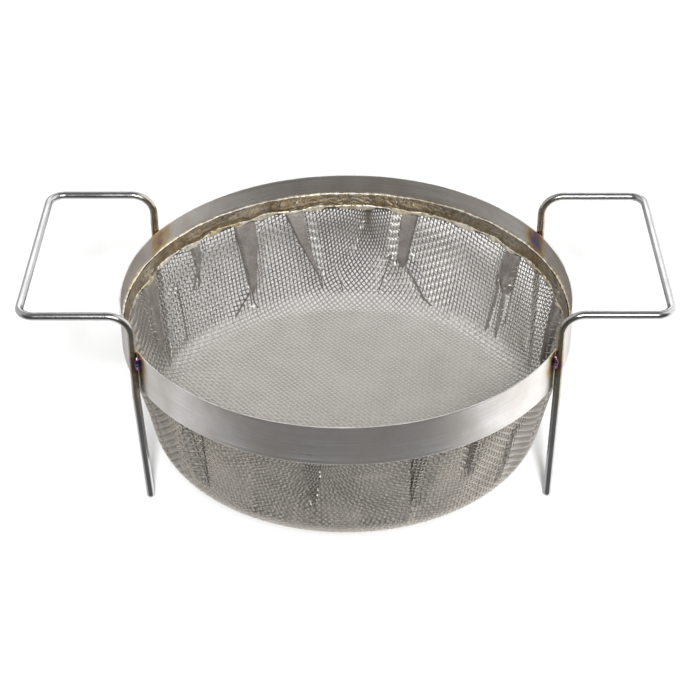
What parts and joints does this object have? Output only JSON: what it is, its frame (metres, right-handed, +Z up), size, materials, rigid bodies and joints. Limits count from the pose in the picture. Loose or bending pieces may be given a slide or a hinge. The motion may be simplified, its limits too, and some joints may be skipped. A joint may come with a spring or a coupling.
{
  "type": "soil sieve",
  "caption": "Round steel hoop sieve with a deep pleated wire-cloth basket and two bent-rod handles that run down the hoop as legs.",
  "frame": {"origin": "on the hoop's axis, at the height of the four feet", "axes": "+Z up along the hoop's axis, X from the left handle to the right handle, -Y towards the viewer"},
  "size_m": [0.4816, 0.35, 0.1715],
  "materials": {
    "rim_band": "stainless strip, brushed along its length, with heat tint at the rod welds",
    "seam_weld": "as-welded bead, lightly brushed",
    "wire_cloth": "drawn stainless wire, plain weave, satin",
    "clamp_strip": "thin strip, straw and brown heat tint from welding",
    "upper_bead": "fine fused seam",
    "lower_bead": "lumpy fused filler, bright",
    "rod_steel": "bright drawn round rod, satin, straw tint near the welds",
    "rod_weld": "smooth fusion weld with purple and blue heat tint"
  },
  "bodies": {
    "root": {"rim_band": "rim_band", "rim_seam_weld": "seam_weld", "mesh_basket": "wire_cloth", "clamp_strip": "clamp_strip", "upper_bead": "upper_bead", "lower_bead": "lower_bead", "left_handle_leg_rod": "rod_steel", "right_handle_leg_rod": "rod_steel", "weld_front_left": "rod_weld", "weld_back_left": "rod_weld", "weld_front_right": "rod_weld", "weld_back_right": "rod_weld"}
  },
  "joints": []
}
